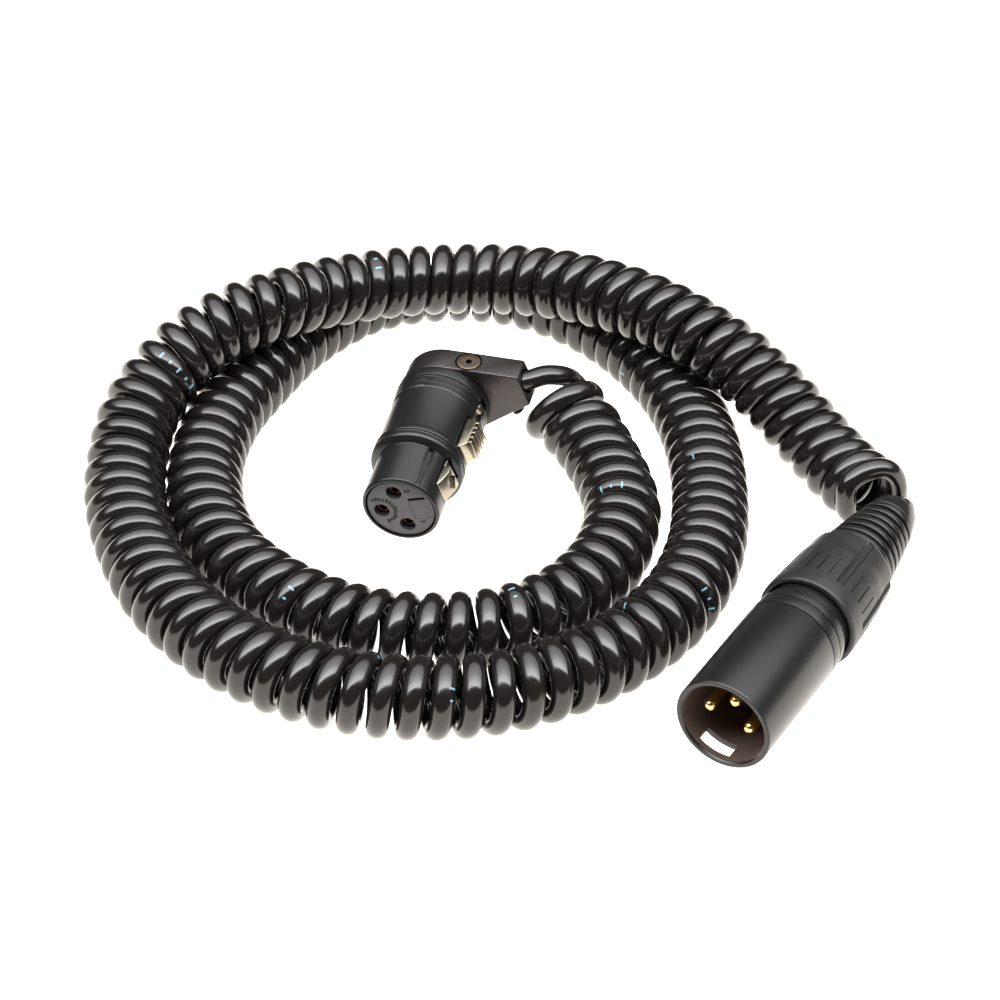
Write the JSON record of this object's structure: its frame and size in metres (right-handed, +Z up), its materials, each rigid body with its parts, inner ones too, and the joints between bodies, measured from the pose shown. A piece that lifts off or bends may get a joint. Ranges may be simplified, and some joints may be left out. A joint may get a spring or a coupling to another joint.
{
  "type": "coiled xlr cable",
  "caption": "Curly microphone lead laid in a spiral, with a right-angle female XLR connector with a latch and a straight male XLR connector.",
  "frame": {"origin": "on the table, under the middle of the two connectors' common box", "axes": "+Z up from the table; -Y is the front, where both connectors' mating faces point; +X is to the right seen from the front"},
  "size_m": [0.1629, 0.159, 0.0304],
  "materials": {
    "black_metal": "satin black chrome on die-cast zinc",
    "block_metal": "black anodised machined aluminium with fine tool marks",
    "insert_plastic": "dark grey moulded plastic",
    "gold": "gold plated",
    "nickel": "warm nickel plate",
    "screw_steel": "turned bronze-coloured screw",
    "bushing_plastic": "satin black moulded plastic",
    "boot_rubber": "matte black flexible plastic",
    "cord_jacket": "glossy black polyurethane jacket",
    "wire_red": "insulation",
    "wire_white": "insulation",
    "wire_bare": "twisted bare copper screen"
  },
  "bodies": {
    "cable": {"female_shell": "black_metal", "female_insert": "insert_plastic", "female_contact_1": "gold", "female_contact_2": "gold", "female_contact_3": "gold", "female_wire_1": "wire_bare", "female_wire_2": "wire_red", "female_wire_3": "wire_white", "latch_pin": "nickel", "latch_spring": "nickel", "elbow_block": "block_metal", "elbow_screw": "screw_steel", "clamp_screw": "black_metal", "male_shell": "black_metal", "male_insert": "insert_plastic", "male_pin_1": "gold", "male_pin_2": "gold", "male_pin_3": "gold", "male_wire_1": "wire_bare", "male_wire_2": "wire_red", "male_wire_3": "wire_white", "male_chuck": "insert_plastic", "male_bushing": "bushing_plastic", "male_boot": "boot_rubber", "cord_tail_female": "cord_jacket", "cord_curl": "cord_jacket", "cord_tail_male": "cord_jacket"},
    "latch": {"latch_lever": "nickel"}
  },
  "joints": [
    {"name": "latch_press", "type": "hinge", "parent": "cable", "child": "latch", "pos_m": [-0.03157, 0.04222, 0.01378], "axis": [0.3253, 0.0242, -0.9453], "range_deg": [0, 3.5], "stiffness_Nm_per_rad": 0.3, "springref_deg": -5.73}
  ]
}
